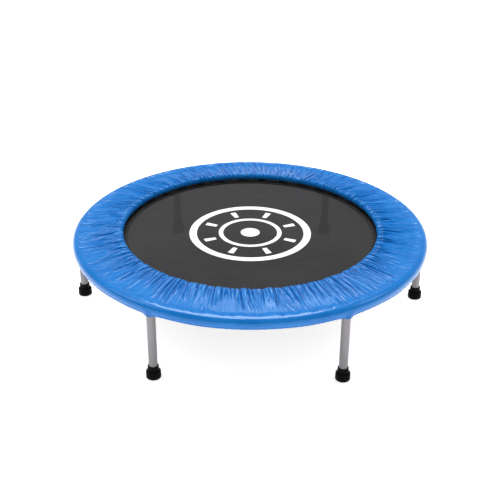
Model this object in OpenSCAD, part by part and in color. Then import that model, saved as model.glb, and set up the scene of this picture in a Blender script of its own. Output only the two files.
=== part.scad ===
// Mini trampoline: a welded ring frame on six screw-in legs, a sprung jumping mat,
// and a padded edge cover whose elastic hem snaps under the frame tube.
// The origin is on the floor under the middle of the mat, +Z is up, and leg 1 stands on +X.

/* [Overall] */
// Diameter over the edge cover
overall_d = 960; // [930:10:990]
// Height of the ring tube's centre above the floor
frame_h = 199; // [190:1:220]

/* [Frame] */
// Outside diameter of the ring tube
tube_d = 25; // [25:0.5:26]
// Wall thickness of the ring tube
tube_wall = 1.2; // [1:0.1:1.5]

/* [Legs] */
// Outside diameter of a leg tube
leg_d = 22; // [21:0.5:22]
// Wall thickness of a leg tube
leg_wall = 1.2; // [1:0.1:1.5]
// Diameter of the threaded stud that holds a leg
stud_d = 8; // [7:0.5:8]
// Height of the boss that the stud screws into
boss_h = 16.5; // [14:0.5:20]

/* [Feet] */
// Diameter of a rubber foot round its base
foot_d = 37.4; // [35:0.2:40]
// Height of a rubber foot
foot_h = 35; // [32:1:40]

/* [Springs] */
// Number of springs round the mat
spring_count = 36; // [24:6:36]
// Outside diameter of a coil
coil_d = 13; // [12.5:0.5:13]
// Length of a close-wound coil at rest
coil_len = 48; // [45:1:50]
// Thickness of the spring wire
spring_wire = 2.4; // [2.2:0.1:2.4]

/* [Jumping mat] */
// Thickness of the woven mat
mat_t = 1; // [0.8:0.1:1.2]
// Width of the webbing band folded round the mat's edge
webbing_w = 31.5; // [28:0.5:34]
// Thickness of the webbing
webbing_t = 1; // [0.8:0.1:1.2]
// Width of a webbing loop
loop_w = 17; // [15:0.5:18]
// Length of a triangular mat ring, from its bar to its tip
mat_ring_len = 15; // [14:0.5:16]

/* [Edge cover] */
// Diameter of the opening over the mat
opening_d = 692; // [684:2:700]
// Thickness of the cover skin
skin_t = 1.3; // [1:0.1:1.4]
// Rise of the padded inner edge above the ring tube's centre
pad_rise = 21; // [20:0.5:23]

/* [Hidden] */
$fn = 96;
leg_count = 6;
running_gap = 0.05;
clear_gap = 0.3;

// Frame: the cover skin lies outside the ring tube and sets the overall diameter.
tube_r = tube_d / 2;
skin_gap = 0.2;
ring_r = overall_d / 2 - skin_t - skin_gap - tube_r;
ring_inside_r = ring_r - tube_r;
leg_step = 360 / leg_count;
spring_step = 360 / spring_count;

// Legs: each tube's open top surrounds a boss under the ring, and its stud screws up into the boss.
leg_r = leg_d / 2;
leg_bore_r = leg_r - leg_wall;
leg_top_z = frame_h - tube_r - 1.9;
boss_wall = 2.5;
boss_r = stud_d / 2 + boss_wall;
boss_bottom_z = frame_h - tube_r - boss_h;
plug_h = 12;
plug_top_z = boss_bottom_z - clear_gap;
stud_r = stud_d / 2;
stud_top_z = boss_bottom_z + 14;
foot_sole_t = 8;

// Springs: close-wound coils with a hook at each end.
spring_wire_r = spring_wire / 2;
coil_r = coil_d / 2;
coil_bore_r = coil_r - spring_wire;
coil_turns = floor(coil_len / spring_wire);
coil_groove = 0.7;
coil_end_r = ring_inside_r - 15.5;
coil_start_r = coil_end_r - coil_len;
outer_hook_r = 2.4;
outer_hook_end = 3;
ring_hole_r = 3.2;
inner_hook_r = 4.6;
inner_hook_at = coil_start_r - 4.35;

// Mat rings: bent wire triangles that the inner hooks hold by the tip.
mat_ring_wire_r = 1.45;
mat_ring_bend = 3.5;
mat_ring_half_w = 9;
mat_ring_tip_r = inner_hook_at - inner_hook_r + spring_wire_r + clear_gap + mat_ring_wire_r;
mat_ring_bar_r = mat_ring_tip_r - mat_ring_len;

// Mat: the sheet, the band folded round its edge, and the loops sewn outside the band.
webbing_out_r = mat_ring_bar_r - 2.5;
webbing_in_r = webbing_out_r - webbing_w;
mat_r = webbing_out_r - 4;
loop_in_r = webbing_out_r - 16;
band_half_t = mat_t / 2 + webbing_t;

// Edge cover: a rolled inner lip, a slope over the springs, and a skirt round the tube.
skin_r = tube_r + skin_gap + skin_t;
lip_rx = 6.5;
lip_rz = 6.9;
lip_r = opening_d / 2 + lip_rx;
lip_z = frame_h + pad_rise - lip_rz;
valley_r = ring_r - 20;
valley_z = frame_h + skin_r - 2.3;
hem_angle = 52;
hem_elastic_r = 0.9;
hem_roll_r = skin_t + hem_elastic_r + 0.1;
hem_reach = tube_r + hem_roll_r + 0.1;
hem_r = ring_r + hem_reach * cos(hem_angle);
hem_z = frame_h - hem_reach * sin(hem_angle);
lip_elastic_r = 1.1;
pad_in_r = lip_r - 0.2;
pad_out_r = ring_inside_r - 4.5;
pad_bottom_z = frame_h + coil_r + 1.6;

leg_names = [for (kind = ["leg_boss", "leg_tube", "leg_plug", "leg_stud", "foot"])
    for (i = [1:leg_count]) str(kind, "_", i)];

// Points on an ellipse about [cx, cy], from one angle to another in even steps.
function arc(cx, cy, rx, ry, from, to, steps) =
    [for (i = [0:steps]) let (a = from + (to - from) * i / steps)
        [cx + rx * cos(a), cy + ry * sin(a)]];

// Unit vector pointing to the left of the way from p to q.
function left_of(p, q) = let (d = q - p) [-d.y, d.x] / norm(d);

// The path moved sideways by t, to its left.
function beside(path, t) = [for (i = [0:len(path) - 1])
    let (before = left_of(path[max(i - 1, 0)], path[max(i, 1)]))
    let (after = left_of(path[min(i, len(path) - 2)], path[min(i + 1, len(path) - 1)]))
    path[i] + t * (before + after) / norm(before + after)];

// The cover's outside: from under the inner lip, over the top, and round the hem's elastic.
cover_path = concat(
    arc(lip_r, lip_z, lip_rx, lip_rz, 255, 90, 11),
    [[valley_r, valley_z]],
    arc(ring_r, frame_h, skin_r, skin_r, 112, -40, 19),
    arc(hem_r, hem_z, hem_roll_r, hem_roll_r, 20, -200, 11)
);
cover_inside = beside(cover_path, -skin_t);
// The top panel is sewn to the skirt where the cover starts to bend over the tube.
cover_seam = 13;

// Copies the children round the ring, once for each leg.
module at_leg(i) {
    rotate([0, 0, (i - 1) * leg_step]) translate([ring_r, 0, 0]) children();
}

// Copies the children round the mat, half a step away from the legs.
module each_spring() {
    for (i = [0:spring_count - 1]) rotate([0, 0, (i + 0.5) * spring_step]) children();
}

// A round bar along +X from x = start to x = end.
module bar_x(start, end, r) {
    translate([start, 0, 0]) rotate([0, 90, 0]) cylinder(h = end - start, r = r);
}

// A bent round bar in the XZ plane, its bend centred on the origin.
module bend_xz(bend_r, r, from, sweep) {
    rotate([90, 0, 0]) rotate([0, 0, from])
        rotate_extrude(angle = sweep) translate([bend_r, 0]) circle(r = r);
}

// The solid that the ring tube fills, grown by gap.
module ring_torus(gap = 0) {
    translate([0, 0, frame_h]) rotate_extrude() translate([ring_r, 0]) circle(r = tube_r + gap);
}

module frame_ring() {
    color("silver") difference() {
        ring_torus();
        ring_torus(-tube_wall);
        each_spring() translate([0, 0, frame_h])
            bar_x(ring_inside_r - 2, ring_inside_r + tube_r / 2, ring_hole_r);
    }
}

module leg_boss(i) {
    color("lightgray") difference() {
        at_leg(i) translate([0, 0, boss_bottom_z]) cylinder(h = boss_h + tube_r / 2, r = boss_r);
        at_leg(i) translate([0, 0, boss_bottom_z - 1]) cylinder(h = boss_h + tube_r,
            r = stud_r + running_gap);
        ring_torus(running_gap);
    }
}

module leg_tube(i) {
    color("silver") at_leg(i) translate([0, 0, foot_sole_t]) difference() {
        cylinder(h = leg_top_z - foot_sole_t, r = leg_r);
        translate([0, 0, -1]) cylinder(h = leg_top_z, r = leg_bore_r);
    }
}

module leg_plug(i) {
    color("gray") at_leg(i) translate([0, 0, plug_top_z - plug_h]) difference() {
        cylinder(h = plug_h, r = leg_bore_r - running_gap);
        translate([0, 0, -1]) cylinder(h = plug_h + 2, r = stud_r + running_gap);
    }
}

module leg_stud(i) {
    color("lightgray") at_leg(i) translate([0, 0, plug_top_z - plug_h])
        cylinder(h = stud_top_z - plug_top_z + plug_h, r = stud_r);
}

module foot(i) {
    base_r = foot_d / 2;
    neck_r = leg_r + 2.8;
    wall_r = leg_r + running_gap;
    outline = concat(
        [[0, 0]],
        arc(base_r - 3.2, 3, 3, 3, 270, 360, 4),
        [[base_r, 12], [base_r - 1.1, 13], [base_r - 1.1, 14.5], [base_r - 0.1, 15.5]],
        [[base_r - 0.1, 18], [base_r - 1.7, 21.5], [neck_r + 0.3, 24], [neck_r, foot_h - 1]],
        [[neck_r - 0.9, foot_h], [wall_r, foot_h], [wall_r, foot_sole_t], [0, foot_sole_t]]
    );
    color("dimgray") at_leg(i) rotate_extrude() polygon(outline);
}

// One spring: a grooved coil with a closed outer end, and a hook at each end.
module spring() {
    turn = coil_len / coil_turns;
    outline = concat(
        [[0, coil_len], [coil_r - coil_groove, coil_len]],
        [for (i = [coil_turns - 1:-1:0]) each
            [[coil_r, (i + 0.5) * turn], [coil_r - coil_groove, i * turn]]],
        [[coil_bore_r, 0], [coil_bore_r, coil_len - spring_wire], [0, coil_len - spring_wire]]
    );
    hook_bend_at = ring_inside_r + 4;
    translate([coil_start_r, 0, 0]) rotate([0, 90, 0]) rotate_extrude() polygon(outline);
    bar_x(coil_end_r - spring_wire / 3, hook_bend_at, spring_wire_r);
    translate([hook_bend_at, 0, -outer_hook_r]) {
        bend_xz(outer_hook_r, spring_wire_r, 0, 90);
        translate([outer_hook_r, 0, -outer_hook_end]) cylinder(h = outer_hook_end, r = spring_wire_r);
    }
    translate([0, 0, inner_hook_r]) bar_x(inner_hook_at, coil_start_r + 4, spring_wire_r);
    translate([inner_hook_at, 0, 0]) bend_xz(inner_hook_r, spring_wire_r, 90, 180);
}

module springs() {
    color("gainsboro") translate([0, 0, frame_h]) each_spring() spring();
}

module jump_mat() {
    color("dimgray") translate([0, 0, frame_h - mat_t / 2]) cylinder(h = mat_t, r = mat_r);
}

module mat_webbing() {
    inside_t = mat_t / 2;
    color("black") translate([0, 0, frame_h]) rotate_extrude() polygon([
        [webbing_in_r, inside_t], [webbing_in_r, band_half_t],
        [webbing_out_r, band_half_t], [webbing_out_r, -band_half_t],
        [webbing_in_r, -band_half_t], [webbing_in_r, -inside_t],
        [mat_r + 0.5, -inside_t], [mat_r + 0.5, inside_t]
    ]);
}

// A triangle of bent wire: its bar lies along Y at x = 0 and its tip points along +X.
module mat_ring() {
    joint = 0.2;
    corners = [
        [mat_ring_bend, -mat_ring_half_w],
        [mat_ring_len - mat_ring_bend, 0],
        [mat_ring_bend, mat_ring_half_w]
    ];
    for (i = [0:2]) {
        p = corners[i];
        q = corners[(i + 1) % 3];
        o = corners[(i + 2) % 3];
        heading = atan2(q.y - p.y, q.x - p.x);
        arrival = atan2(p.y - o.y, p.x - o.x);
        turn = (heading - arrival + 720) % 360;
        translate(p) rotate([0, 0, heading]) translate([0, -mat_ring_bend, 0])
            bar_x(-joint, norm(q - p) + joint, mat_ring_wire_r - running_gap);
        translate(p) rotate([0, 0, arrival - 90]) rotate_extrude(angle = turn)
            translate([mat_ring_bend, 0]) circle(r = mat_ring_wire_r);
    }
}

module mat_rings() {
    color("gainsboro") translate([0, 0, frame_h]) each_spring()
        translate([mat_ring_bar_r, 0, 0]) mat_ring();
}

module ring_loops() {
    outer_r = band_half_t + webbing_t;
    outline = concat(
        [[loop_in_r, -outer_r]],
        arc(mat_ring_bar_r, 0, outer_r, outer_r, -90, 90, 8),
        [[loop_in_r, outer_r], [loop_in_r, band_half_t]],
        arc(mat_ring_bar_r, 0, band_half_t, band_half_t, 90, -90, 8),
        [[loop_in_r, -band_half_t]]
    );
    color("black") translate([0, 0, frame_h]) each_spring() rotate([90, 0, 0])
        translate([0, 0, -loop_w / 2]) linear_extrude(height = loop_w) polygon(outline);
}

// A stretch of the cover's skin, turned round the object's axis.
module cover_skin(from, to) {
    rotate_extrude() polygon(concat(
        [for (i = [from:to]) cover_path[i]],
        [for (i = [to:-1:from]) cover_inside[i]]
    ));
}

module cover_top() {
    color("dodgerblue") cover_skin(0, cover_seam);
}

module cover_skirt() {
    color("dodgerblue") cover_skin(cover_seam, len(cover_path) - 1);
}

module foam_pad() {
    slope = (valley_z - frame_h - pad_rise) / (valley_r - lip_r);
    top_z = frame_h + pad_rise - skin_t - clear_gap;
    color("whitesmoke") rotate_extrude() polygon([
        [pad_in_r, pad_bottom_z], [pad_out_r, pad_bottom_z],
        [pad_out_r, top_z + slope * (valley_r - lip_r)],
        [valley_r - 2, top_z + slope * (valley_r - 2 - lip_r)], [pad_in_r, top_z]
    ]);
}

module lip_elastic() {
    reach = skin_t + lip_elastic_r + clear_gap;
    at = [lip_r - (lip_rx - reach) * cos(45), lip_z - (lip_rz - reach) * sin(45)];
    color("white") rotate_extrude() translate(at) circle(r = lip_elastic_r);
}

module hem_elastic() {
    color("white") rotate_extrude() translate([hem_r, hem_z]) circle(r = hem_elastic_r);
}

frame_ring();
springs();
cover_top();
cover_skirt();
foam_pad();
lip_elastic();
hem_elastic();
jump_mat();
mat_webbing();
mat_rings();
ring_loops();
for (i = [1:leg_count]) {
    leg_boss(i);
    leg_tube(i);
    leg_plug(i);
    leg_stud(i);
    foot(i);
}
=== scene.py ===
"""Mini trampoline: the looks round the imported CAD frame. Metres, +Z up, leg 1 on +X."""

import math

import bpy
import numpy as np
from mathutils import Matrix, Vector


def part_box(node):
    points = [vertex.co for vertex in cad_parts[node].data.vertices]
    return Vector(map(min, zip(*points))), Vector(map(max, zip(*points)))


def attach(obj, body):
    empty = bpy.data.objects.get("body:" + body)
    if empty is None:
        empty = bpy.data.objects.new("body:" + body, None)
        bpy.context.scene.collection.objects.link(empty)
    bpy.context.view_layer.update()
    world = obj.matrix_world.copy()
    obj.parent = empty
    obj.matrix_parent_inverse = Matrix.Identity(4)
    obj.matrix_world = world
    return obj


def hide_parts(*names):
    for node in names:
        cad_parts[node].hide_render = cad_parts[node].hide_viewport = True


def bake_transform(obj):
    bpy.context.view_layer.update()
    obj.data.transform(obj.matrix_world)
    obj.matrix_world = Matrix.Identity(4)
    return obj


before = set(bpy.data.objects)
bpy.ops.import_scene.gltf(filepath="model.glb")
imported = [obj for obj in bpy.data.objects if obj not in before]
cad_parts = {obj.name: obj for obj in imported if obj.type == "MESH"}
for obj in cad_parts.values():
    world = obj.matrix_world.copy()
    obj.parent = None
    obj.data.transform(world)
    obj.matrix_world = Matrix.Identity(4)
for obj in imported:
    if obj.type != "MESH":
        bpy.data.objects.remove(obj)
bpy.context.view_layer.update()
LEGS = range(1, 7)
SPRINGS = range(1, 37)
TAU = 2 * math.pi


# ---------------------------------------------------------------- places from the CAD frame
def node_points(node):
    """A CAD node's vertices as rows of x, y, z."""
    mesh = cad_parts[node].data
    points = np.empty(len(mesh.vertices) * 3)
    mesh.vertices.foreach_get("co", points)
    return points.reshape(-1, 3)


def node_radii(node):
    """The smallest and largest distance of a node's vertices from the object's axis."""
    radii = np.hypot(*node_points(node)[:, :2].T)
    return float(radii.min()), float(radii.max())


def node_levels(node):
    """A node's lowest and highest z."""
    low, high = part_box(node)
    return low[2], high[2]


RING_IN, RING_OUT = node_radii("frame_ring")
RING_R = (RING_IN + RING_OUT) / 2
TUBE_R = (RING_OUT - RING_IN) / 2
RING_Z = sum(node_levels("frame_ring")) / 2
OPENING_R = node_radii("cover_top")[0]
COVER_OUT = node_radii("cover_skirt")[1]
COVER_TOP = node_levels("cover_top")[1]
COVER_LOW = node_levels("cover_skirt")[0]
SKIN_R = COVER_OUT - RING_R
LIP_RX, LIP_RZ = 0.0065, 0.0069
LIP_C = (OPENING_R + LIP_RX, COVER_TOP - LIP_RZ)
VALLEY = (RING_R - 0.020, RING_Z + SKIN_R - 0.0023)
HEM_C = (sum(node_radii("hem_elastic")) / 2, sum(node_levels("hem_elastic")) / 2)
HEM_R = HEM_C[1] - COVER_LOW
MAT_R = node_radii("jump_mat")[1]
MAT_Z = sum(node_levels("jump_mat")) / 2
BAND_IN, BAND_OUT = node_radii("mat_webbing")
BAND_HALF = node_levels("mat_webbing")[1] - MAT_Z
LOOP_IN = node_radii("ring_loops")[0]
LOOP_HALF = node_levels("ring_loops")[1] - MAT_Z
RINGS_IN = node_radii("mat_rings")[0]
WIRE_R = 0.0012


def spring_angle(i):
    """Where spring i, and its mat ring and loop, lie round the object's axis."""
    return (i - 0.5) * TAU / len(SPRINGS)


# ---------------------------------------------------------------- mesh helpers
def link(name, data):
    """An object with this data, in the scene."""
    obj = bpy.data.objects.new(name, data)
    bpy.context.scene.collection.objects.link(obj)
    return obj


def build(name, vertices, faces, smooth=True):
    """A mesh object from vertices and faces."""
    mesh = bpy.data.meshes.new(name)
    mesh.from_pydata(np.asarray(vertices).tolist(), [], [list(map(int, face)) for face in faces])
    mesh.polygons.foreach_set("use_smooth", [smooth] * len(faces))
    mesh.update()
    return link(name, mesh)


def arc_points(cx, cz, rx, rz, start, stop, steps):
    """Points on an ellipse, angles in degrees."""
    angles = np.radians(np.linspace(start, stop, steps + 1))
    return np.column_stack((cx + rx * np.cos(angles), cz + rz * np.sin(angles)))


def resample(path, *stretches):
    """The path again, and its points' distances along it; a stretch is (where it ends, spacing)."""
    steps = np.linalg.norm(np.diff(path, axis=0), axis=1)
    along = np.concatenate(([0], np.cumsum(steps)))
    at = np.zeros(1)
    for end, spacing in stretches:
        end = min(end, along[-1])
        count = int(round((end - at[-1]) / spacing))
        at = np.concatenate((at, np.linspace(at[-1], end, count + 1)[1:]))
    return np.column_stack([np.interp(at, along, path[:, k]) for k in range(path.shape[1])]), at


def turned(path, columns):
    """A profile of (r, z) points turned round the axis, as points[row, column]."""
    theta = np.arange(columns) * TAU / columns
    return np.stack((path[:, :1] * np.cos(theta), path[:, :1] * np.sin(theta),
                     np.repeat(path[:, 1:], columns, axis=1)), axis=-1)


def raise_points(obj, rise):
    """Moves an object's vertices up by rise(radius, angle), both measured from the object's axis."""
    points = np.array([vertex.co for vertex in obj.data.vertices])
    points[:, 2] += rise(np.hypot(points[:, 0], points[:, 1]), np.arctan2(points[:, 1], points[:, 0]))
    obj.data.vertices.foreach_set("co", points.reshape(-1))


def grid_faces(rows, columns, wrap_rows=False):
    """Quads over points[row, column], closed round the columns."""
    row, column = np.meshgrid(np.arange(rows if wrap_rows else rows - 1), np.arange(columns),
                              indexing="ij")
    right = (column + 1) % columns
    below = (row + 1) % rows
    return np.stack((row * columns + column, below * columns + column,
                     below * columns + right, row * columns + right), axis=-1).reshape(-1, 4)


def grid_mesh(name, points):
    """A smooth mesh from points[row, column], closed round the columns."""
    rows, columns = points.shape[:2]
    quads = grid_faces(rows, columns)
    mesh = bpy.data.meshes.new(name)
    mesh.vertices.add(rows * columns)
    mesh.vertices.foreach_set("co", points.reshape(-1).astype(np.float32))
    mesh.loops.add(quads.size)
    mesh.loops.foreach_set("vertex_index", quads.reshape(-1).astype(np.int32))
    mesh.polygons.add(len(quads))
    mesh.polygons.foreach_set("loop_start", np.arange(0, quads.size, 4, dtype=np.int32))
    mesh.polygons.foreach_set("loop_total", np.full(len(quads), 4, dtype=np.int32))
    mesh.update(calc_edges=True)
    mesh.polygons.foreach_set("use_smooth", np.ones(len(quads), dtype=bool))
    return mesh


def lathe(name, path, columns=96, closed=False, centre=(0, 0)):
    """An outline of (r, z) points turned about a vertical axis through centre."""
    points = turned(np.asarray(path), columns)
    points[..., 0] += centre[0]
    points[..., 1] += centre[1]
    faces = [list(face[::-1]) for face in grid_faces(len(path), columns, wrap_rows=closed)]
    return build(name, points.reshape(-1, 3), faces)


def sweep(path, radius, sides):
    """Vertices and faces of a capped round bar along a path; radius may vary along it."""
    path = np.asarray(path, float)
    count = len(path)
    radius = np.broadcast_to(radius, count)
    tangent = np.gradient(path, axis=0)
    tangent /= np.linalg.norm(tangent, axis=1)[:, None]
    side = np.cross(tangent[0], (0.31, 0.2, 0.93))
    rings = []
    angles = np.arange(sides) * TAU / sides
    for point, along, r in zip(path, tangent, radius):
        side = side - along * side.dot(along)
        side /= np.linalg.norm(side)
        up = np.cross(along, side)
        rings.append(point + r * (np.cos(angles)[:, None] * side + np.sin(angles)[:, None] * up))
    faces = [list(face[::-1]) for face in grid_faces(count, sides)]
    first = list(range(sides))
    last = [(count - 1) * sides + k for k in range(sides)]
    return np.concatenate(rings), faces + [first[::-1], last]


def joined(parts):
    """Many (vertices, faces) pairs as one."""
    vertices, faces, offset = [], [], 0
    for points, polygons in parts:
        vertices.append(points)
        faces += [[k + offset for k in polygon] for polygon in polygons]
        offset += len(points)
    return np.concatenate(vertices), faces


def spun(points, angle):
    """Points turned about the object's axis, angle in radians."""
    c, s = math.cos(angle), math.sin(angle)
    return points @ np.array([[c, s, 0], [-s, c, 0], [0, 0, 1]])


def stitch_row(points, normals, pitch, length, thread_r):
    """Stitches along a closed line of surface points, each one dipping into the cloth at its ends."""
    sink = 0.6
    closed = np.vstack((points, points[:1]))
    along = np.concatenate(([0], np.cumsum(np.linalg.norm(np.diff(closed, axis=0), axis=1))))
    outward = np.vstack((normals, normals[:1]))
    count = int(along[-1] / pitch)
    rise = thread_r * np.array([-sink, 0.7, 0.9, 0.7, -sink])
    parts = []
    for k in range(count):
        at = (k + 0.2) * along[-1] / count + np.linspace(0, length, len(rise))
        line = np.column_stack([np.interp(at, along, closed[:, a]) for a in range(3)])
        up = np.column_stack([np.interp(at, along, outward[:, a]) for a in range(3)])
        parts.append(sweep(line + up * rise[:, None], thread_r, 5))
    return parts


def ring_line(radius, z, count=720):
    """A level circle of points with upward normals."""
    theta = np.arange(count) * TAU / count
    points = np.column_stack((radius * np.cos(theta), radius * np.sin(theta), np.full(count, z)))
    return points, np.tile((0.0, 0.0, 1.0), (count, 1))


# ---------------------------------------------------------------- edge cover
COLUMNS = 1800          # round the cover
GATHER_END = 0.466      # where the gathers have died out
GATHER_EXTRA = 0.50     # spare length at the opening, as a share
FOLD_LIFT = 0.0066      # height of the raised skin at the opening
FOLD_LEAN = 0.10        # how far the folds lean round the cover, as a slope
CASING = 0.012          # length of skin held round the opening's elastic
SIM_SCALE = 10          # the cloth is simulated ten times larger, where the solver is steadier
SIM_FRAMES = 5


def form_path(inset=0.0):
    """The padded form that the cover lies on, from under the lip to the outside of the tube."""
    lip = arc_points(*LIP_C, LIP_RX - inset, LIP_RZ - inset, 235, 90, 14)
    tube = arc_points(RING_R, RING_Z, SKIN_R - inset, SKIN_R - inset, 112, -30, 20)
    valley = np.array([[VALLEY[0], VALLEY[1] - inset]])
    return np.vstack((lip, valley, tube))


def eased(share):
    """A share from 0 to 1 that starts and stops gently."""
    return share * share * (3 - 2 * share)


def smooth_noise(theta, low, high, terms, rng):
    """A smooth random curve round the cover, about -1 to 1."""
    total = np.zeros_like(theta)
    for k in rng.integers(low, high + 1, terms):
        total += rng.normal() * np.sin(k * theta + rng.uniform(0, TAU))
    return total / math.sqrt(terms)


def cut_valleys(height, lift, radius, lean, rng, spacing, lengths, depths, flare, middles=(0, 0)):
    """Cuts valleys into height[row, column]; each is deepest at its middle and dies out from there.

    Spacing, lengths, depths and middles are (least, most), and depths are shares of the lift. A
    middle is a distance out from the opening, so at 0 the valley starts at the opening. The
    cover lies flatter at the front, so the valleys are shorter there.
    """
    theta = np.arange(COLUMNS) * TAU / COLUMNS
    out = radius - OPENING_R
    least_width = 0.0017
    at = rng.uniform(0, spacing[0]) / OPENING_R
    while at < TAU - 0.5 * spacing[0] / OPENING_R:
        tilt = lean[int(at / TAU * COLUMNS) % COLUMNS] + rng.normal(0, 0.08)
        length = rng.uniform(*lengths) * (1.27 - 0.55 * max(0, -math.sin(at)) ** 2)
        away = np.abs(out - rng.uniform(*middles)) / length
        fade = rng.uniform(*depths) * np.exp(-away ** 3)
        centre = at + tilt * out / radius
        width = least_width + flare * out * rng.uniform(0.7, 1.4)
        gap = (theta[None, :] - centre[:, None] + math.pi) % TAU - math.pi
        near = np.abs(gap * radius[:, None]) / width[:, None]
        height -= (lift * fade)[:, None] * np.exp(-near ** 1.5)
        at += rng.uniform(*spacing) / OPENING_R


def fold_heights(radius, rng):
    """Heights [row, column] of the gathers above the form: a raised skin cut by sharp valleys.

    Long deep valleys lie an uneven 10 to 27 mm apart, with short shallow ones between them, and
    faint wrinkles cross the outer half.
    """
    theta = np.arange(COLUMNS) * TAU / COLUMNS
    reach = np.clip((radius - OPENING_R) / (GATHER_END - OPENING_R), 0, 1)
    lift = FOLD_LIFT * (1 - reach) ** 0.36
    height = lift[:, None] * (1 + 0.20 * smooth_noise(theta, 25, 80, 12, rng))
    lean = FOLD_LEAN + 0.16 * smooth_noise(theta, 2, 7, 5, rng)
    cut_valleys(height, lift, radius, lean, rng, spacing=(0.010, 0.027), lengths=(0.045, 0.165),
                depths=(0.60, 1.15), flare=0.026)
    cut_valleys(height, lift, radius, lean, rng, spacing=(0.007, 0.013), lengths=(0.012, 0.040),
                depths=(0.30, 0.75), flare=0.02)
    cut_valleys(height, lift, radius, 2.2 * lean, rng, spacing=(0.009, 0.030),
                lengths=(0.018, 0.045), depths=(0.25, 0.70), flare=0.02, middles=(0.060, 0.112))
    least_height = 0.0002
    return np.clip(height, least_height, None)


def cut_shape(path, along):
    """The cloth as it was cut, as (r, z): wider than the form near the opening, so it gathers."""
    share = np.clip((GATHER_END - path[:, 0]) / (GATHER_END - OPENING_R), 0, 1)
    radius = path[:, 0] * (1 + GATHER_EXTRA * share ** 1.3)
    step = np.diff(along) * 1.012
    rise = np.sqrt(np.clip(step ** 2 - np.diff(radius) ** 2, 1e-10, None))
    return np.column_stack((radius, np.concatenate(([0], np.cumsum(rise)))))


def gathered_start(path, along, rng):
    """The cover with its gathers already shaped, before the cloth settles.

    The folds are low at the opening, where the elastic holds them, and full 30 mm further out.
    """
    theta = np.arange(COLUMNS) * TAU / COLUMNS
    tangent = np.gradient(path, axis=0)
    tangent /= np.linalg.norm(tangent, axis=1)[:, None]
    full_at, held = 0.030, 0.22
    settle = np.clip(along / full_at, 0, 1)[:, None]
    lift = fold_heights(path[:, 0], rng) * (held + (1 - held) * eased(settle))
    radius = path[:, :1] - tangent[:, 1:] * lift
    level = path[:, 1:] + tangent[:, :1] * lift
    return np.stack((radius * np.cos(theta), radius * np.sin(theta), level), axis=-1)


def cloth_settings(modifier, strip):
    """A light, supple vinyl sheet."""
    settings = modifier.settings
    settings.quality = 6
    settings.mass = 0.35
    settings.air_damping = 2
    settings.tension_stiffness = 60
    settings.compression_stiffness = 60
    settings.shear_stiffness = 12
    settings.bending_stiffness = 0.12
    settings.tension_damping = 20
    settings.compression_damping = 20
    settings.shear_damping = 10
    settings.bending_damping = 1
    settings.vertex_group_mass = "pins"
    settings.rest_shape_key = strip
    modifier.collision_settings.distance_min = 0.004
    modifier.collision_settings.collision_quality = 2
    modifier.collision_settings.use_self_collision = False
    modifier.point_cache.frame_start = 1
    modifier.point_cache.frame_end = SIM_FRAMES


def simulate_cover(path, along):
    """Gathers a wide strip of cloth on to the form, and returns points[row, column]."""
    rng = np.random.default_rng(7)
    start = gathered_start(path, along, rng)
    rest = turned(cut_shape(path, along), COLUMNS)
    cloth = link("cover_sim", grid_mesh("cover_sim", start * SIM_SCALE))
    cloth.shape_key_add(name="Basis")
    strip = cloth.shape_key_add(name="strip")
    strip.data.foreach_set("co", (rest * SIM_SCALE).reshape(-1).astype(np.float32))
    strip.value = 0
    # The skin is held round the tube, and its casing is held round the elastic.
    pins = cloth.vertex_groups.new(name="pins")
    rows = len(path)
    number = np.arange(rows * COLUMNS).reshape(rows, COLUMNS)
    on_tube = path[:, 0] > RING_R - 0.004
    in_casing = along < CASING
    pins.add([int(i) for i in number[on_tube | in_casing].ravel()], 1.0, "REPLACE")
    form = link("form", grid_mesh("form", turned(form_path(0.0006), 240) * SIM_SCALE))
    form.modifiers.new("Collision", "COLLISION")
    form.collision.thickness_outer = 0.004
    form.collision.cloth_friction = 8
    cloth_settings(cloth.modifiers.new("Cloth", "CLOTH"), strip)
    scene = bpy.context.scene
    for step in range(1, SIM_FRAMES + 1):
        scene.frame_set(step)
    settled = cloth.evaluated_get(bpy.context.evaluated_depsgraph_get()).data
    result = np.empty(rows * COLUMNS * 3, dtype=np.float32)
    settled.vertices.foreach_get("co", result)
    bpy.data.objects.remove(cloth)
    bpy.data.objects.remove(form)
    scene.frame_set(1)
    return result.reshape(rows, COLUMNS, 3).astype(float) / SIM_SCALE


def hem_path():
    """The skirt below the simulated sheet, and the hem rolled round its elastic."""
    skirt = arc_points(RING_R, RING_Z, SKIN_R, SKIN_R, -32.5, -40, 3)
    roll = arc_points(*HEM_C, HEM_R, HEM_R, 8, -205, 11)
    return np.vstack((skirt, roll))


def hem_shape(points):
    """The hem's small puckers, and the dips where the skirt is pulled down over the legs' tops."""
    theta = np.arctan2(points[..., 1], points[..., 0])
    radius = np.hypot(points[..., 0], points[..., 1])
    level = points[..., 2]
    share = np.clip((RING_Z + 0.001 - level) / (RING_Z - HEM_C[1]), 0, 1)
    share = eased(share)
    rng = np.random.default_rng(3)
    pucker = smooth_noise(theta, 150, 330, 14, rng) * 0.00022
    dent = smooth_noise(theta, 9, 26, 9, rng) * 0.0006
    step = TAU / len(LEGS)
    beside_leg = RING_R * ((theta + step / 2) % step - step / 2)
    clear = 1 - np.exp(-(beside_leg / 0.022) ** 2)
    bulge = 0.0045 * np.exp(-(beside_leg / 0.0095) ** 2)
    dip = 0.0044 * np.exp(-(beside_leg / 0.0145) ** 2)
    radius = radius + share * (bulge + clear * pucker)
    level = level + share * (clear * dent - dip)
    return np.stack((radius * np.cos(theta), radius * np.sin(theta), level), axis=-1)


def surface_normals(points):
    """Unit normals of points[row, column], pointing away from the padded form."""
    across = np.roll(points, -1, axis=1) - np.roll(points, 1, axis=1)
    normal = np.cross(np.gradient(points, axis=0), across)
    return normal / np.linalg.norm(normal, axis=2)[..., None]


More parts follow.
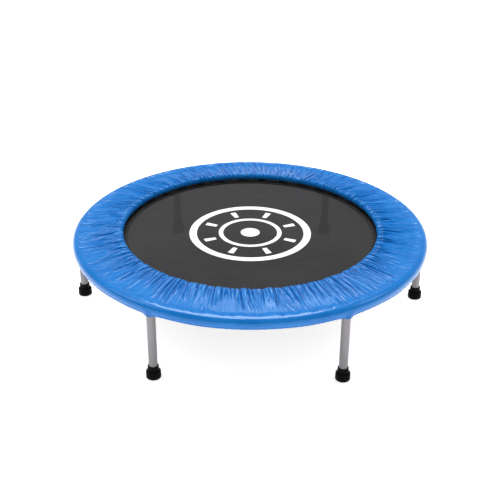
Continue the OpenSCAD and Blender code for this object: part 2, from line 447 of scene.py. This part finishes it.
def hollow_share(points):
    """How far each point lies below its neighbours round the cover: -1 on a crest, 1 in a fold; the
    cover's material paints shade into the folds by it.
    """
    height = points[..., 2] + 0.3 * np.hypot(points[..., 0], points[..., 1])
    reach = COLUMNS // 205
    full_depth = 0.0011
    around = sum(np.roll(height, k, axis=1) for k in range(-reach, reach + 1)) / (2 * reach + 1)
    return np.clip((around - height) / full_depth, -1, 1)


def make_cover():
    """The sewn sheet that lies over the springs, with its stitches; its casing and hem lie round both
    elastics, which are made on their own.
    """
    # The rows are closest round the opening, where the folds are finest.
    path, along = resample(form_path(), (0.018, 0.0030), (0.112, 0.0052), (1, 0.0034))
    points = simulate_cover(path, along)
    points = np.concatenate((points, turned(hem_path(), COLUMNS)))
    points = hem_shape(points)
    cover = link("edge_cover", grid_mesh("edge_cover", points))
    # The hollow share is kept on the cover, where its material paints shade into the folds.
    hollow = cover.data.attributes.new("hollow", "FLOAT", "POINT")
    hollow.data.foreach_set("value", hollow_share(points).reshape(-1).astype(np.float32))
    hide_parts("cover_top", "cover_skirt")
    normals = surface_normals(points)
    casing_seam = 0.0215
    casing = int(np.argmin(np.abs(along - casing_seam)))
    # The hem's seam is on the skirt's last row, just above the roll.
    hem_row = len(path) + 3
    opening = stitch_row(points[casing], normals[casing], 0.0046, 0.0033, 0.00032)
    hem = stitch_row(points[hem_row], normals[hem_row], 0.0060, 0.0042, 0.00035)
    stitches = build("cover_stitches", *joined(opening + hem))
    return cover, stitches


# ---------------------------------------------------------------- pad, elastics and springs
def make_pad():
    """The foam ring under the cover, with rounded edges and the slight waves of cut foam."""
    points = node_points("foam_pad")
    radii = np.hypot(*points[:, :2].T)
    inside, outside = radii.min(), radii.max()
    low, high = node_levels("foam_pad")
    outer_top = points[radii > outside - 0.0005, 2].max()
    edge = 0.0028
    wave_depth = 0.0003
    outline = np.vstack((
        arc_points(inside + edge, low + edge, edge, edge, 270, 180, 5),
        arc_points(inside + edge, high - edge, edge, edge, 180, 90, 5),
        np.column_stack((np.linspace(inside + 0.02, outside - 0.03, 6),
                         np.linspace(high, outer_top + 0.0022, 6) - 0.0004)),
        arc_points(outside - edge, outer_top - edge, edge, edge, 80, 0, 5),
        arc_points(outside - edge, low + edge, edge, edge, 0, -90, 5),
    ))
    pad = lathe("pad_foam", outline, 288, closed=True)
    rng = np.random.default_rng(11)
    raise_points(pad, lambda _, theta: -wave_depth * np.abs(smooth_noise(theta, 8, 40, 12, rng)))
    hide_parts("foam_pad")
    return pad


def make_elastic(name, node):
    """A braided elastic cord that runs round inside its casing, with a slight wander."""
    radius = sum(node_radii(node)) / 2
    level = sum(node_levels(node)) / 2
    thick = (node_levels(node)[1] - node_levels(node)[0]) / 2
    theta = np.arange(720) * TAU / 720
    wander = smooth_noise(theta, 20, 60, 8, np.random.default_rng(5)) * 0.0001
    section = np.arange(10) * TAU / 10
    points = np.stack([np.stack(((radius + wander + thick * math.cos(a)) * np.cos(theta),
                                 (radius + wander + thick * math.cos(a)) * np.sin(theta),
                                 np.full_like(theta, level + thick * math.sin(a))), axis=-1)
                       for a in section])
    faces = [list(face) for face in grid_faces(len(section), len(theta), wrap_rows=True)]
    cord = build(name, points.reshape(-1, 3), faces)
    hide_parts(node)
    return cord


def spring_line():
    """The centreline of one spring along +X, from its inner hook to its outer one, at z = 0."""
    points = node_points("springs")
    inner = np.hypot(*points[:, :2].T).min()
    hook_r, bend_r = 0.0046, 0.0024
    hook_x = inner + hook_r + WIRE_R
    coil_r = node_levels("springs")[1] - RING_Z - WIRE_R
    coil_x = hook_x + 0.00435 + WIRE_R
    turns, lead = 19, 2 * WIRE_R
    hook = [(hook_x + hook_r * math.cos(a), 0, hook_r * math.sin(a))
            for a in np.radians(np.linspace(280, 92, 12))]
    shank = [(hook_x + 0.003, 0, hook_r)]
    angle = np.arange(turns * 16 + 1) * TAU / 16
    coil = np.column_stack((coil_x + lead * angle / TAU, coil_r * np.sin(angle),
                            coil_r * np.cos(angle)))
    close = np.linspace(0, 1, 12)[1:]
    turn = angle[-1] + close * TAU
    shrink = coil_r * (1 - close) ** 0.8
    cone = np.column_stack((coil[-1, 0] + lead * 0.9 * close, shrink * np.sin(turn),
                            shrink * np.cos(turn)))
    bend_x = RING_IN + 0.004
    bend = [(bend_x + bend_r * math.sin(a), 0, bend_r * (math.cos(a) - 1))
            for a in np.radians(np.linspace(0, 90, 6))]
    tail = [(bend_x + bend_r, 0, -bend_r - 0.003)]
    return np.vstack((hook, shank, coil, cone, [(bend_x - 0.004, 0, 0)], bend, tail))


def make_springs():
    """The springs, each its own piece, stretching between the ring and the mat."""
    points, faces = sweep(spring_line(), WIRE_R, 6)
    points = points + (0, 0, RING_Z)
    # The inner hook sits at the mat, the tail and outer hook at the ring; the springs are attached to
    # neither.
    springs = []
    for i in SPRINGS:
        angle = spring_angle(i)
        spring = build(f"spring_{i:02d}", spun(points, angle), faces)
        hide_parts("springs")
        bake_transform(spring)
        springs.append(spring)
    return springs


# ---------------------------------------------------------------- jumping mat
def tension_wave(radius, theta):
    """How far the mat's edge is drawn up and down between its springs."""
    flat_to, rise = 0.285, 0.00035
    near_edge = np.clip((radius - flat_to) / (MAT_R - flat_to), 0, 1) ** 2
    return rise * near_edge * np.cos(len(SPRINGS) * (theta - spring_angle(1)))


def make_mat():
    """The woven sheet, drawn tight."""
    radii = np.concatenate(([0.004], np.linspace(0.02, MAT_R, 64)))
    points = turned(np.column_stack((radii, np.full(len(radii), MAT_Z))), 360)
    theta = np.arctan2(points[..., 1], points[..., 0])
    points[..., 2] += tension_wave(radii[:, None], theta)
    faces = [list(face) for face in grid_faces(len(radii), 360)]
    sheet = build("mat_sheet", points.reshape(-1, 3), faces + [list(range(360))])
    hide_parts("jump_mat")
    return sheet


def make_band():
    """The webbing folded round the mat's edge: full over the sheet's rim, flatter where sewn."""
    outer = arc_points(BAND_OUT - BAND_HALF, 0, BAND_HALF, BAND_HALF, 90, -90, 8)
    seams = (BAND_IN + 0.003, BAND_OUT - 0.0045)
    top = []
    for r in np.linspace(BAND_IN, BAND_OUT - BAND_HALF, 26):
        press = sum(math.exp(-((r - seam) / 0.0011) ** 2) for seam in seams)
        top.append((r, BAND_HALF * (0.97 - 0.28 * press)))
    lower = [(r, -z) for r, z in reversed(top)]
    inner = [(BAND_IN, -0.0006), (BAND_IN, 0.0006)]
    outline = np.vstack((top, outer[1:-1], lower, inner))
    outline[:, 1] += MAT_Z
    band = lathe("mat_band", outline, 720, closed=True)
    raise_points(band, tension_wave)
    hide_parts("mat_webbing")
    rows = []
    pressed = 0.70
    for seam in seams:
        line, up = ring_line(seam, MAT_Z + BAND_HALF * pressed)
        for offset in (-0.0009, 0.0009):
            shift = line * (1 + offset / seam * np.array([1, 1, 0]))
            shift[:, 2] += tension_wave(np.hypot(shift[:, 0], shift[:, 1]),
                                        np.arctan2(shift[:, 1], shift[:, 0]))
            rows += stitch_row(shift, up, 0.0042, 0.0031, 0.00034)
    return band, build("band_stitches", *joined(rows))


def loop_part():
    """One webbing loop along +X: a strap sewn to the band that holds the bar of a mat ring."""
    bar_r = RINGS_IN + 0.00145
    half = 0.0085
    thick = 0.001
    bend_r = BAND_HALF + thick
    outside = np.vstack(([(LOOP_IN, -bend_r)], arc_points(bar_r, 0, bend_r, bend_r, -90, 90, 10),
                         [(LOOP_IN, bend_r)]))
    inside = np.vstack(([(LOOP_IN, BAND_HALF)],
                        arc_points(bar_r, 0, BAND_HALF, BAND_HALF, 90, -90, 10),
                        [(LOOP_IN, -BAND_HALF)]))
    outline = np.vstack((outside, inside))
    count = len(outline)
    # A strap's edges are thinner than its middle.
    steps = (-half, -half + 0.0008, -half / 3, half / 3, half - 0.0008, half)
    middle = np.vstack((outside + inside[::-1], (outside + inside[::-1])[::-1])) / 2
    rows = []
    for y in steps:
        share = 0.55 if abs(y) == half else 1.0
        section = middle + (outline - middle) * share
        rows.append(np.column_stack((section[:, 0], np.full(count, y), section[:, 1] + MAT_Z)))
    faces = [[r * count + k, r * count + (k + 1) % count, (r + 1) * count + (k + 1) % count,
              (r + 1) * count + k] for r in range(len(steps) - 1) for k in range(count)]
    side = count // 2
    for base, flip in ((0, False), ((len(steps) - 1) * count, True)):
        for k in range(side - 1):
            quad = [base + k, base + count - 1 - k, base + count - 2 - k, base + k + 1]
            faces.append(quad[::-1] if flip else quad)
    return np.vstack(rows), faces


def loop_stitches():
    """The box of stitches that holds one loop, on both of its faces."""
    left, right = LOOP_IN + 0.0015, LOOP_IN + 0.0115
    side, pitch, sink, thread_r = 0.0062, 0.003, 0.0002, 0.0003
    corners = [(left, -side), (right, -side), (right, side), (left, side)]
    lines = [(corners[k], corners[(k + 1) % 4]) for k in range(4)]
    lines += [(corners[0], corners[2]), (corners[1], corners[3])]
    parts = []
    for face in (1, -1):
        level = MAT_Z + face * (LOOP_HALF + 0.00005)
        for start, end in lines:
            start, end = np.array(start), np.array(end)
            count = max(2, int(np.linalg.norm(end - start) / pitch))
            for k in range(count):
                first = start + (end - start) * (k + 0.1) / count
                last = start + (end - start) * (k + 0.9) / count
                path = [(*first, level - face * sink), (*(first + last) / 2, level + face * sink),
                        (*last, level - face * sink)]
                parts.append(sweep(path, thread_r, 4))
    return joined(parts)


def make_loops():
    """All the loops, and the stitches that hold them."""
    def everywhere(points, faces):
        return joined([(spun(points, spring_angle(i)), faces) for i in SPRINGS])

    loops = build("webbing_loops", *everywhere(*loop_part()))
    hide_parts("ring_loops")
    return loops, build("loop_stitches", *everywhere(*loop_stitches()))


def flat_ring(inner, outer, z, start=0.0, sweep_angle=TAU, columns=240):
    """A flat piece of a ring, as vertices and faces."""
    theta = start + np.linspace(0, sweep_angle, columns + 1)
    rows = [np.column_stack((r * np.cos(theta), r * np.sin(theta), np.full(len(theta), z)))
            for r in np.linspace(inner, outer, 3)]
    width = columns + 1
    faces = [[r * width + k, (r + 1) * width + k, (r + 1) * width + k + 1, r * width + k + 1]
             for r in range(2) for k in range(columns)]
    return np.vstack(rows), faces


def make_print():
    """A plain landing target printed on the mat: two rings, a dot, and short marks between."""
    z = MAT_Z + 0.00025
    parts = [flat_ring(0.146, 0.166, z), flat_ring(0.074, 0.086, z, columns=180),
             flat_ring(0.0002, 0.026, z, columns=96)]
    marks, width = 8, math.radians(7)
    for k in range(marks):
        middle = (k + 0.5) * TAU / marks
        parts.append(flat_ring(0.100, 0.132, z, middle - width / 2, width, 12))
    return build("mat_print", *joined(parts))


# ---------------------------------------------------------------- legs
def leg_axis(i):
    """Where leg i's axis meets the floor."""
    angle = (i - 1) * TAU / len(LEGS)
    return RING_R * math.cos(angle), RING_R * math.sin(angle)


def make_foot(i):
    """A moulded rubber ferrule: a ringed base, a shoulder and a snug neck."""
    base, neck = 0.0187, 0.0138
    bore = 0.01105
    sole = [(0.0004, 0.0)]
    for r in (0.005, 0.009, 0.013):
        sole += [(r - 0.0011, 0.0), (r - 0.0008, 0.0007), (r + 0.0008, 0.0007), (r + 0.0011, 0.0)]
    outline = np.vstack((
        sole,
        arc_points(base - 0.0030, 0.0030, 0.0030, 0.0030, 270, 360, 8),
        [(base, 0.0114)],
        arc_points(base - 0.0006, 0.0120, 0.0006, 0.0006, 10, 80, 3),
        [(base - 0.0017, 0.0130), (base - 0.0017, 0.0144)],
        arc_points(base - 0.0008, 0.0152, 0.0006, 0.0006, 280, 350, 3),
        [(base - 0.0001, 0.0176)],
        arc_points(base - 0.0024, 0.0179, 0.0023, 0.0023, 0, 40, 4),
        [(base - 0.0017, 0.0207), (neck + 0.0010, 0.0232)],
        arc_points(neck + 0.0016, 0.0250, 0.0015, 0.0015, 225, 180, 3),
        [(neck - 0.0001, 0.0280), (neck + 0.0001, 0.0320)],
        arc_points(neck - 0.0012, 0.0338, 0.0012, 0.0012, 0, 90, 4),
        [(bore + 0.0002, 0.0348), (bore, 0.0340), (bore, 0.0081), (0.0004, 0.0081)],
    ))
    foot = lathe(f"rubber_foot_{i}", outline, 96, centre=leg_axis(i))
    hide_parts(f"foot_{i}")
    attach(foot, f"leg_{i}")
    return foot


def make_stud(i):
    """An M8 stud with its helical thread and chamfered ends."""
    low, high = node_levels(f"leg_stud_{i}")
    crest, depth, pitch = 0.00398, 0.00072, 0.00125
    level = np.arange(low, high, pitch / 6)
    theta = np.arange(28) * TAU / 28
    phase = (level[:, None] / pitch - theta / TAU) % 1
    radius = crest - depth * np.clip(1.3 * np.abs(phase - 0.5) * 2 - 0.15, 0, 1)
    end = np.minimum(level - low, high - level)[:, None]
    radius = np.minimum(radius, crest - 0.0009 + end)
    points = np.stack((radius * np.cos(theta), radius * np.sin(theta),
                       np.repeat(level[:, None], len(theta), axis=1)), axis=-1)
    points[..., :2] += leg_axis(i)
    faces = [list(face[::-1]) for face in grid_faces(len(level), len(theta))]
    last = (len(level) - 1) * len(theta)
    faces += [list(range(len(theta)))[::-1], [last + k for k in range(len(theta))]]
    stud = build(f"threaded_stud_{i}", points.reshape(-1, 3), faces)
    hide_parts(f"leg_stud_{i}")
    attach(stud, f"leg_{i}")
    return stud


def make_weld(i):
    """The bead that joins a boss to the ring: small overlapping ripples along the seam."""
    inner, outer = node_radii(f"leg_boss_{i}")
    half = (outer - inner) / 2
    centre = np.array(leg_axis(i))
    outward = centre / np.linalg.norm(centre)
    sideways = np.array([-outward[1], outward[0]])
    seam_r, below, count = half + 0.0004, 0.0002, 96
    path = []
    for a in np.linspace(0, TAU, count + 1)[:-1]:
        spot = centre + seam_r * math.cos(a) * outward + seam_r * math.sin(a) * sideways
        gap = np.linalg.norm(spot) - RING_R
        path.append((*spot, RING_Z - math.sqrt(TUBE_R ** 2 - gap ** 2) - below))
    path.append(path[0])
    ripple = 0.0013 + 0.00022 * np.abs(np.sin(np.arange(count + 1) * math.pi / 4))
    bead = build(f"weld_bead_{i}", *sweep(path, ripple, 8))
    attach(bead, "frame")
    return bead


# ---------------------------------------------------------------- material helpers
def srgb(red, green, blue):
    """A linear colour from the 0 to 255 one that a screen shows."""
    def linear(c):
        c /= 255
        return c / 12.92 if c <= 0.04045 else ((c + 0.055) / 1.055) ** 2.4
    return (linear(red), linear(green), linear(blue), 1)


def material(name, colour, roughness, **settings):
    """A material with its plain numbers set; underscores in the names stand for spaces."""
    mat = bpy.data.materials.new(name)
    mat.use_nodes = True
    shader = mat.node_tree.nodes["Principled BSDF"]
    shader.inputs["Base Color"].default_value = colour
    shader.inputs["Roughness"].default_value = roughness
    for key, value in settings.items():
        shader.inputs[key.replace("_", " ")].default_value = value
    return mat


def add(mat, kind, inputs=None, output=0, **settings):
    """Adds a node, wires or sets its inputs, and returns one of its outputs."""
    node = mat.node_tree.nodes.new("ShaderNode" + kind)
    for key, value in settings.items():
        setattr(node, key, value)
    for key, value in (inputs or {}).items():
        if isinstance(value, bpy.types.NodeSocket):
            mat.node_tree.links.new(value, node.inputs[key])
        else:
            node.inputs[key].default_value = value
    return node.outputs[output]


def shader_input(mat, name, socket):
    """Wires a socket to one of the material's main inputs."""
    mat.node_tree.links.new(socket, mat.node_tree.nodes["Principled BSDF"].inputs[name])


def place(mat):
    """Where a point lies on its own piece, in metres."""
    return add(mat, "TexCoord", output="Object")


def maths(mat, operation, first, second=0.0):
    """The result of one sum on two values."""
    return add(mat, "Math", {0: first, 1: second}, operation=operation)


def cylinder(mat):
    """A point's angle round the object's axis, its distance from it, and its height."""
    separate = add(mat, "SeparateXYZ", {0: place(mat)}, output="X").node
    x, y, z = (separate.outputs[k] for k in range(3))
    square = maths(mat, "ADD", maths(mat, "MULTIPLY", x, x), maths(mat, "MULTIPLY", y, y))
    return maths(mat, "ARCTAN2", y, x), maths(mat, "SQRT", square), z


def polar(mat, round_scale, out_scale, up_scale):
    """A vector that runs round, out from and along the object's axis, each with its own scale."""
    angle, radius, z = cylinder(mat)
    return add(mat, "CombineXYZ", {0: maths(mat, "MULTIPLY", angle, round_scale),
                                   1: maths(mat, "MULTIPLY", radius, out_scale),
                                   2: maths(mat, "MULTIPLY", z, up_scale)})


def noise(mat, vector, scale, detail=4.0, roughness=0.5):
    """Smooth noise, about 0 to 1."""
    return add(mat, "TexNoise", {"Vector": vector, "Scale": scale, "Detail": detail,
                                 "Roughness": roughness}, output="Fac")


def spread(mat, value, low, high, to_low=0.0, to_high=1.0):
    """A value's range stretched to another one, and held inside it."""
    return add(mat, "MapRange", {"Value": value, "From Min": low, "From Max": high,
                                 "To Min": to_low, "To Max": to_high})


def mixed(mat, share, first, second):
    """Two colours mixed by share."""
    node = mat.node_tree.nodes.new("ShaderNodeMix")
    node.data_type = "RGBA"
    for index, value in ((0, share), (6, first), (7, second)):
        if isinstance(value, bpy.types.NodeSocket):
            mat.node_tree.links.new(value, node.inputs[index])
        else:
            node.inputs[index].default_value = value
    return node.outputs[2]


def bumps(mat, *layers):
    """Bump layers as (height, strength, distance), one on top of the other."""
    normal = None
    for height, strength, distance in layers:
        inputs = {"Height": height, "Strength": strength, "Distance": distance}
        if normal is not None:
            inputs["Normal"] = normal
        normal = add(mat, "Bump", inputs)
    shader_input(mat, "Normal", normal)


def threads(mat, vector, axis, pitch):
    """Parallel ridges, one every pitch, across an axis of the vector."""
    return add(mat, "TexWave", {"Vector": vector, "Scale": TAU / 20 / pitch}, output="Fac",
               bands_direction=axis)


def woven(mat, vector, pitch_x, pitch_y):
    """An over-and-under weave of two sets of threads."""
    return maths(mat, "MAXIMUM", threads(mat, vector, "X", pitch_x), threads(mat, vector, "Y", pitch_y))


# ---------------------------------------------------------------- materials
def vinyl():
    """Glossy blue PVC: painted shade darkens its folds, which are also dull, and it is glossiest where it
    is drawn tight round the tube.
    """
    mat = material("cover_vinyl", srgb(28, 95, 163), 0.32, Specular_IOR_Level=0.13,
                   Specular_Tint=srgb(120, 190, 255))
    hollow = add(mat, "Attribute", output="Fac", attribute_name="hollow")
    cloudy = noise(mat, place(mat), 14.0, 3.0)
    crest = mixed(mat, spread(mat, cloudy, 0.35, 0.65), srgb(6, 104, 181), srgb(18, 112, 188))
    # Painted shade: the base colour turns deep blue where the skin lies in a fold, below its neighbours.
    painted_fold_shade = mixed(mat, spread(mat, hollow, 0.05, 0.85), crest, srgb(0, 74, 148))
    shader_input(mat, "Base Color", painted_fold_shade)
    radius = cylinder(mat)[1]
    tight = spread(mat, radius, RING_R - 0.010, RING_R + 0.004, 0.0, 0.30)
    gloss = spread(mat, hollow, 0.0, 0.5, 0.17, 0.0)
    shader_input(mat, "Coat Weight", maths(mat, "ADD", gloss, tight))
    shader_input(mat, "Coat Roughness", spread(mat, noise(mat, place(mat), 60.0), 0.3, 0.7, 0.07, 0.15))
    creases = noise(mat, polar(mat, 180.0, 26.0, 26.0), 1.0, 5.0, 0.6)
    grain = add(mat, "TexVoronoi", {"Vector": place(mat), "Scale": 1300.0}, output="Distance")
    pulls = noise(mat, polar(mat, 62.0, 9.0, 9.0), 1.0, 2.0)
    pull_strength = spread(mat, radius, RING_R - 0.012, RING_R, 0.55, 0.05)
    bumps(mat, (pulls, pull_strength, 0.0045), (creases, 0.25, 0.0011), (grain, 0.05, 0.0002))
    return mat


def foam():
    """Closed-cell packing foam: off-white, with small cells and a dusty sheen."""
    mat = material("pad_foam", srgb(226, 226, 220), 0.85)
    cells = add(mat, "TexVoronoi", {"Vector": place(mat), "Scale": 420.0}, output="Distance")
    tint = mixed(mat, noise(mat, place(mat), 25.0), srgb(214, 213, 204), srgb(236, 236, 231))
    shader_input(mat, "Base Color", tint)
    bumps(mat, (cells, 0.5, 0.0008), (noise(mat, place(mat), 90.0), 0.3, 0.001))
    return mat


def braid():
    """A white braided elastic."""
    mat = material("elastic_braid", srgb(222, 222, 220), 0.75, Sheen_Weight=0.3)
    strands = threads(mat, polar(mat, 0.35, 1.4, 1.4), "DIAGONAL", 0.0012)
    shader_input(mat, "Base Color", mixed(mat, strands, srgb(176, 176, 176), srgb(232, 232, 230)))
    bumps(mat, (strands, 0.8, 0.0004))
    return mat


def mat_cloth():
    """Tightly woven black polypropylene; a little light gets through between its threads."""
    mat = material("mat_cloth", srgb(30, 29, 32), 0.62, Specular_IOR_Level=0.12, Alpha=0.992)
    weave = woven(mat, place(mat), 0.0011, 0.0013)
    slubs = noise(mat, add(mat, "Mapping", {"Vector": place(mat), "Scale": (14, 190, 1)}), 1.0, 3.0)
    dust = noise(mat, place(mat), 5.0, 5.0, 0.6)
    fibre = mixed(mat, spread(mat, slubs, 0.3, 0.7), srgb(24, 23, 25), srgb(34, 33, 35))
    shader_input(mat, "Base Color", mixed(mat, spread(mat, dust, 0.45, 0.8, 0.0, 0.35), fibre,
                                          srgb(46, 45, 47)))
    shader_input(mat, "Roughness", spread(mat, weave, 0.2, 1.0, 0.78, 0.52))
    bumps(mat, (weave, 0.55, 0.0004), (noise(mat, place(mat), 3.0, 2.0), 0.15, 0.01))
    return mat


def band_webbing():
    """Black ribbed webbing."""
    mat = material("band_webbing", srgb(10, 10, 11), 0.75, Specular_IOR_Level=0.15)
    ribs = woven(mat, polar(mat, 0.35, 1.0, 1.0), 0.0016, 0.0026)
    shader_input(mat, "Base Color", mixed(mat, ribs, srgb(5, 5, 6), srgb(15, 15, 16)))
    bumps(mat, (ribs, 0.7, 0.0005))
    return mat


def thread(name, dark, light):
    """Twisted polyester sewing thread."""
    mat = material(name, light, 0.55, Sheen_Weight=0.2)
    twist = threads(mat, place(mat), "DIAGONAL", 0.0006)
    shader_input(mat, "Base Color", mixed(mat, twist, dark, light))
    bumps(mat, (twist, 0.6, 0.0002))
    return mat


def ink():
    """White screen-print on the weave, slightly thin in places."""
    mat = material("print_white", srgb(235, 237, 240), 0.5, Specular_IOR_Level=0.4)
    weave = woven(mat, place(mat), 0.0011, 0.0013)
    thin = spread(mat, noise(mat, place(mat), 30.0, 6.0, 0.65), 0.35, 0.75, 0.0, 0.30)
    shader_input(mat, "Base Color", mixed(mat, thin, srgb(236, 238, 241), srgb(188, 190, 196)))
    bumps(mat, (weave, 0.4, 0.0003))
    return mat


def zinc(name, colour, pale):
    """Bright zinc plate with cloudy passivation and drawn scratches."""
    mat = material(name, colour, 0.3, Metallic=1.0)
    cloud = noise(mat, place(mat), 70.0, 4.0)
    shader_input(mat, "Base Color", mixed(mat, cloud, colour, pale))
    shader_input(mat, "Roughness", spread(mat, cloud, 0.3, 0.7, 0.24, 0.42))
    scratches = noise(mat, add(mat, "Mapping", {"Vector": place(mat), "Scale": (1500, 1500, 120)}),
                      1.0, 2.0)
    bumps(mat, (scratches, 0.12, 0.0002))
    return mat


def silver_paint(name, colour, flake_colour):
    """Silver powder coat: fine metal flake under a soft orange-peel surface."""
    mat = material(name, colour, 0.42, Metallic=0.60, Coat_Weight=0.15, Coat_Roughness=0.25)
    flakes = add(mat, "TexVoronoi", {"Vector": place(mat), "Scale": 2200.0}, output="Distance")
    dirt = noise(mat, place(mat), 16.0, 6.0, 0.62)
    flaked = mixed(mat, spread(mat, flakes, 0.1, 0.55), flake_colour, colour)
    scuffed = tuple(0.72 * c for c in colour[:3]) + (1,)
    shader_input(mat, "Base Color", mixed(mat, spread(mat, dirt, 0.58, 0.8, 0.0, 0.5), flaked, scuffed))
    shader_input(mat, "Roughness", spread(mat, dirt, 0.3, 0.75, 0.32, 0.48))
    bumps(mat, (noise(mat, place(mat), 420.0, 2.0), 0.12, 0.0004))
    return mat


def rubber():
    """Moulded black rubber: matt, slightly dusty and finely pitted."""
    mat = material("foot_rubber", srgb(8, 8, 8), 0.62, Specular_IOR_Level=0.08)
    dust = noise(mat, place(mat), 45.0, 6.0, 0.65)
    shader_input(mat, "Base Color", mixed(mat, spread(mat, dust, 0.45, 0.85, 0.0, 0.5),
                                          srgb(3, 3, 3), srgb(13, 12, 12)))
    shader_input(mat, "Roughness", spread(mat, dust, 0.3, 0.8, 0.5, 0.75))
    pits = add(mat, "TexVoronoi", {"Vector": place(mat), "Scale": 900.0}, output="Distance")
    bumps(mat, (pits, 0.25, 0.0003), (noise(mat, place(mat), 160.0), 0.2, 0.0006))
    return mat


def paint(mat, slot, *objects):
    """Gives objects a material; the slot argument is not used."""
    for obj in objects:
        obj.data.materials.clear()
        obj.data.materials.append(mat)


# ---------------------------------------------------------------- camera and stage
def make_camera():
    """A view from 28 degrees above the floor, looking along +Y, with the object a little low."""
    elevation, azimuth, roll = (math.radians(a) for a in (28.13, 0.36, 0.42))
    distance = 2.70
    target = Vector((0, 0, 0.12))
    camera = link("camera", bpy.data.cameras.new("camera"))
    back = Vector((math.sin(azimuth) * math.cos(elevation),
                   -math.cos(azimuth) * math.cos(elevation),
                   math.sin(elevation)))
    look = (-back).to_track_quat("-Z", "Y").to_matrix().to_4x4()
    camera.matrix_world = (Matrix.Translation(target + back * distance) @ look
                           @ Matrix.Rotation(roll, 4, "Z"))
    camera.data.lens = 70.0
    camera.data.sensor_width = 36.0
    camera.data.shift_y = 0.0156
    bpy.context.scene.camera = camera


def area_light(name, spot, size, power):
    """A square soft box at spot that faces the object."""
    target = (0, 0, 0.2)
    lamp = bpy.data.lights.new(name, "AREA")
    lamp.size = size
    lamp.energy = power
    obj = link(name, lamp)
    obj.location = spot
    obj.rotation_euler = (Vector(target) - Vector(spot)).to_track_quat("-Z", "Y").to_euler()


def make_stage():
    """A plain pale floor that sweeps up far away, a white world and soft boxes."""
    world = bpy.data.worlds.new("studio")
    bpy.context.scene.world = world
    world.use_nodes = True
    background = world.node_tree.nodes["Background"]
    background.inputs["Color"].default_value = (1, 1, 1, 1)
    background.inputs["Strength"].default_value = 0.365
    bpy.context.scene.view_settings.view_transform = "Standard"
    # The wall stands nearer than 100 m, which is as far as a camera sees.
    reach, bend_r, wall = 60.0, 4.0, 7.5
    bend = arc_points(reach, bend_r, bend_r, bend_r, 270, 360, 8)
    floor = lathe("floor", np.vstack(([(0.001, 0)], bend, [(reach + bend_r, wall)])), 96)
    floor.data.materials.append(material("floor_white", (0.85, 0.85, 0.85, 1), 0.9,
                                         Emission_Color=(1, 1, 1, 1), Emission_Strength=0.72))
    sky = link("overhead", bpy.data.lights.new("overhead", "SUN"))
    sky.data.energy = 3.0
    sky.data.angle = math.radians(34)
    sky.rotation_euler = Vector((0.05, -0.45, -0.88)).to_track_quat("-Z", "Y").to_euler()
    area_light("box_left", (-1.8, -0.1, 1.9), size=1.1, power=10)
    area_light("box_right", (1.9, -0.1, 1.8), size=0.9, power=7)
    area_light("box_back", (0.1, 1.7, 2.3), size=1.0, power=17)


# ---------------------------------------------------------------- the trampoline
def assemble():
    """Makes every piece, says how each but the springs is held, and gives each its material."""
    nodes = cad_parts
    leg_nodes = {kind: [nodes[f"{kind}_{i}"] for i in LEGS]
                 for kind in ("leg_boss", "leg_tube", "leg_plug")}
    cover, cover_stitches = make_cover()
    pad = make_pad()
    elastics = [make_elastic("opening_elastic", "lip_elastic"),
                make_elastic("skirt_elastic", "hem_elastic")]
    springs = make_springs()
    sheet = make_mat()
    band, band_stitches = make_band()
    loops, loop_threads = make_loops()
    mark = make_print()
    feet = [make_foot(i) for i in LEGS]
    studs = [make_stud(i) for i in LEGS]
    welds = [make_weld(i) for i in LEGS]
    for piece in (cover, cover_stitches, pad, *elastics):
        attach(piece, "frame")
    for piece in (sheet, band, band_stitches, loops, loop_threads, mark):
        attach(piece, "mat")

    paint(vinyl(), "cover_pvc", cover)
    paint(thread("cover_thread", srgb(70, 130, 215), srgb(150, 195, 245)), "thread", cover_stitches)
    paint(foam(), "pad_foam", pad)
    paint(braid(), "elastic_cord", *elastics)
    bright_zinc = srgb(196, 198, 202), srgb(222, 223, 226)
    paint(zinc("spring_zinc", *bright_zinc), "spring_steel", *springs)
    paint(zinc("ring_zinc", *bright_zinc), "ring_wire", nodes["mat_rings"])
    paint(mat_cloth(), "mat_fabric", sheet)
    paint(band_webbing(), "webbing", band, loops)
    paint(thread("band_thread", srgb(30, 30, 32), srgb(66, 66, 70)), "thread", band_stitches, loop_threads)
    paint(ink(), "print_ink", mark)
    paint(silver_paint("ring_silver", srgb(176, 174, 176), srgb(206, 205, 208)), "ring_paint",
          nodes["frame_ring"], *welds)
    paint(silver_paint("leg_silver", srgb(117, 114, 118), srgb(145, 143, 148)), "leg_paint",
          *leg_nodes["leg_tube"])
    paint(zinc("boss_zinc", srgb(186, 186, 182), srgb(214, 212, 204)), "zinc_steel",
          *leg_nodes["leg_boss"], *leg_nodes["leg_plug"], *studs)
    paint(rubber(), "foot_rubber", *feet)


make_camera()
make_stage()
assemble()
